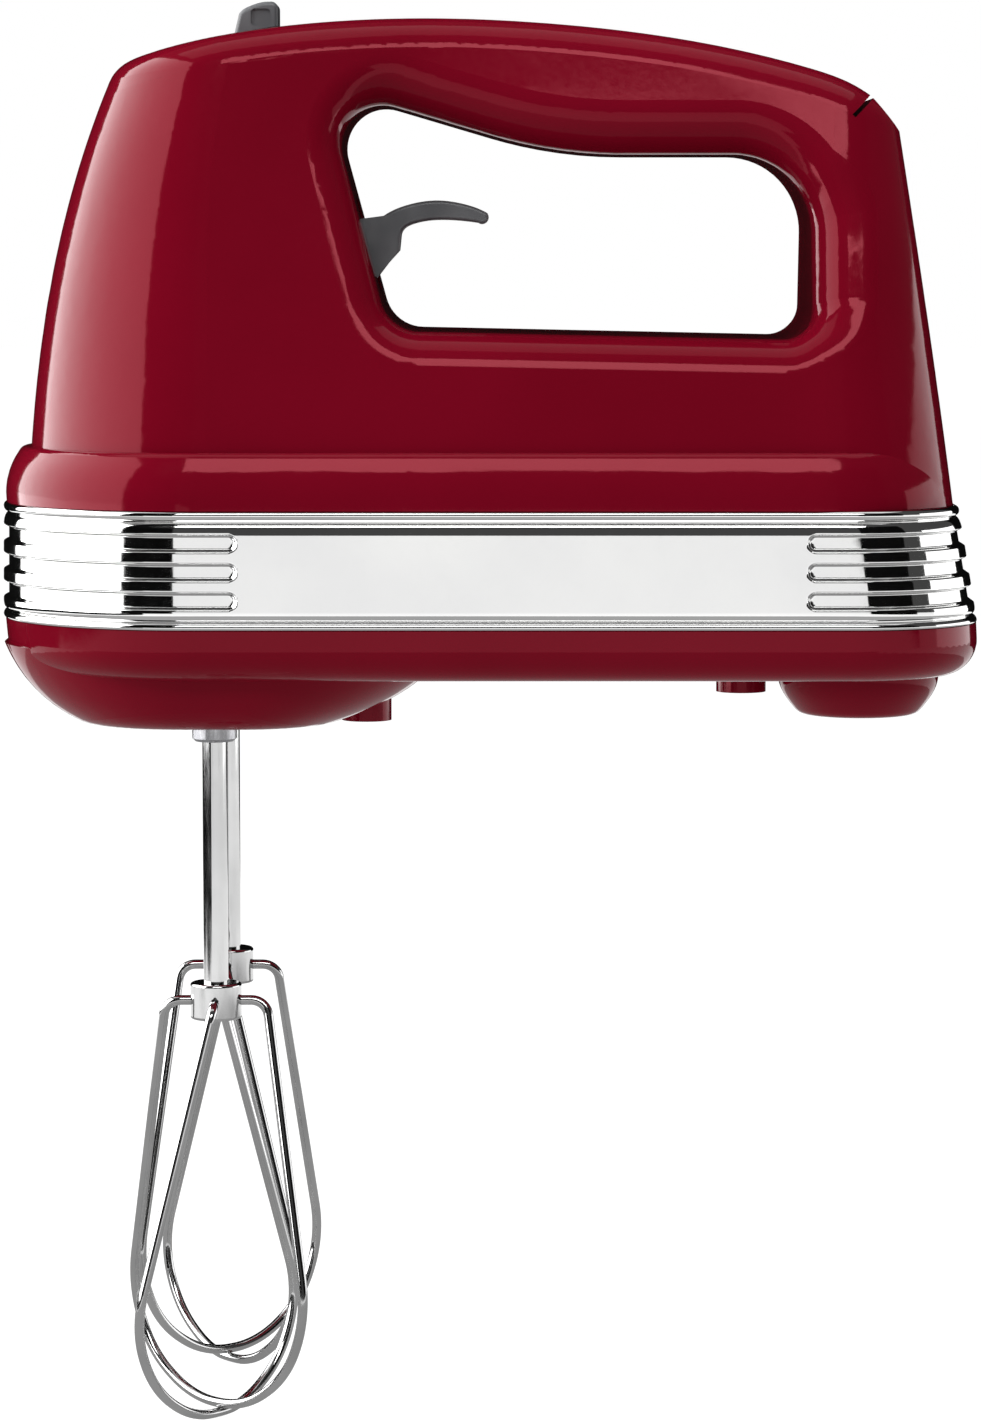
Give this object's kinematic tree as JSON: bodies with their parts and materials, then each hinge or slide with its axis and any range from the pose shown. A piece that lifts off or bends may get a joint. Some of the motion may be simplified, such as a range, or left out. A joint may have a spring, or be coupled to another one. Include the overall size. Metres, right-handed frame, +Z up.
{
  "type": "hand mixer",
  "caption": "Electric hand mixer with a gloss housing, chrome band, pull-out wire beaters, release lever, speed slide and swivelling cord turret.",
  "frame": {"origin": "middle of the grip, where a hand holds the mixer", "axes": "+X towards the heel, +Y to the mixer's right, since it points forward along -X, +Z up"},
  "size_m": [0.1981, 0.091, 0.287],
  "materials": {
    "housing_red": "moulded crimson plastic, high gloss",
    "chrome": "bright chrome plate",
    "grey_plastic": "moulded dark grey plastic, satin",
    "scale_plate": "bright plate with a fine brushed grain",
    "steel": "ground steel",
    "laminations": "stacked steel laminations",
    "copper": "enamelled copper wire",
    "bronze": "sintered bronze",
    "nylon": "natural nylon",
    "black_plastic": "moulded black plastic",
    "carbon": "pressed carbon",
    "board": "glass-fibre circuit board",
    "zinc": "cast alloy, as cast"
  },
  "bodies": {
    "housing": {"upper_housing": "housing_red", "handle_cover": "housing_red", "chrome_band": "chrome", "lower_housing": "housing_red", "speed_scale": "scale_plate", "switch_block": "black_plastic", "lever_pin": "steel", "ejector_spring": "steel", "terminal_block": "nylon", "control_board": "board", "board_parts": "black_plastic", "housing_screws": "steel", "frame_screws": "steel", "gearbox_screws": "steel", "gearbox_tray": "zinc", "gearbox_cap": "zinc", "spindle_bushes": "bronze", "stator_core": "laminations", "left_field_coil": "copper", "right_field_coil": "copper", "front_bracket": "zinc", "rear_bracket": "zinc", "front_bush": "bronze", "middle_bush": "bronze", "rear_bush": "bronze", "brush_holders": "black_plastic", "carbon_brushes": "carbon", "brush_springs": "steel"},
    "armature": {"motor_shaft": "steel", "armature_core": "laminations", "armature_windings": "copper", "commutator": "copper", "cooling_fan": "black_plastic", "worm": "steel"},
    "left_drive": {"left_gear": "nylon", "left_spindle": "steel", "left_detent": "steel"},
    "right_drive": {"right_gear": "nylon", "right_spindle": "steel", "right_detent": "steel"},
    "left_beater": {"left_beater_shaft": "chrome", "left_beater_hub": "chrome", "left_wire_a": "chrome", "left_wire_b": "chrome"},
    "right_beater": {"right_beater_shaft": "chrome", "right_beater_hub": "chrome", "right_wire_a": "chrome", "right_wire_b": "chrome"},
    "speed_control": {"speed_knob": "grey_plastic", "speed_slider": "black_plastic"},
    "release": {"release_lever": "grey_plastic"},
    "ejector": {"ejector_plate": "nylon"},
    "turret": {"cord_turret": "housing_red", "turret_retainer": "nylon"}
  },
  "joints": [
    {"name": "motor_spin", "type": "hinge", "parent": "housing", "child": "armature", "pos_m": [-0.0782, 0, -0.088], "axis": [1, 0, 0], "continuous": true},
    {"name": "left_drive_spin", "type": "hinge", "parent": "housing", "child": "left_drive", "pos_m": [-0.0782, -0.0245, -0.088], "axis": [0, 0, 1], "continuous": true},
    {"name": "right_drive_spin", "type": "hinge", "parent": "housing", "child": "right_drive", "pos_m": [-0.0782, 0.0245, -0.088], "axis": [0, 0, 1], "continuous": true},
    {"name": "left_beater_slide", "type": "slide", "parent": "left_drive", "child": "left_beater", "axis": [0, 0, -1], "range_m": [0, 0.04]},
    {"name": "right_beater_slide", "type": "slide", "parent": "right_drive", "child": "right_beater", "axis": [0, 0, -1], "range_m": [0, 0.04]},
    {"name": "speed_slide", "type": "slide", "parent": "housing", "child": "speed_control", "axis": [0.996, 0, 0.0896], "range_m": [0, 0.02]},
    {"name": "release_swing", "type": "hinge", "parent": "housing", "child": "release", "pos_m": [-0.062, 0, -0.031], "axis": [0, -1, 0], "range_deg": [0, 12], "stiffness_Nm_per_rad": 0.3, "springref_deg": -5.73},
    {"name": "ejector_slide", "type": "slide", "parent": "housing", "child": "ejector", "axis": [0, 0, -1], "range_m": [0, 0.0036], "deforming": ["ejector_spring"]},
    {"name": "turret_swivel", "type": "hinge", "parent": "housing", "child": "turret", "pos_m": [0.053, 0, -0.1224], "axis": [0, 0, 1], "range_deg": [-180, 0]}
  ],
  "couplings": [
    {"joint": "left_drive_spin", "follows": "motor_spin", "ratio": 0.083333},
    {"joint": "right_drive_spin", "follows": "motor_spin", "ratio": -0.083333},
    {"joint": "ejector_slide", "follows": "release_swing", "m_per_rad": 0.0165}
  ]
}
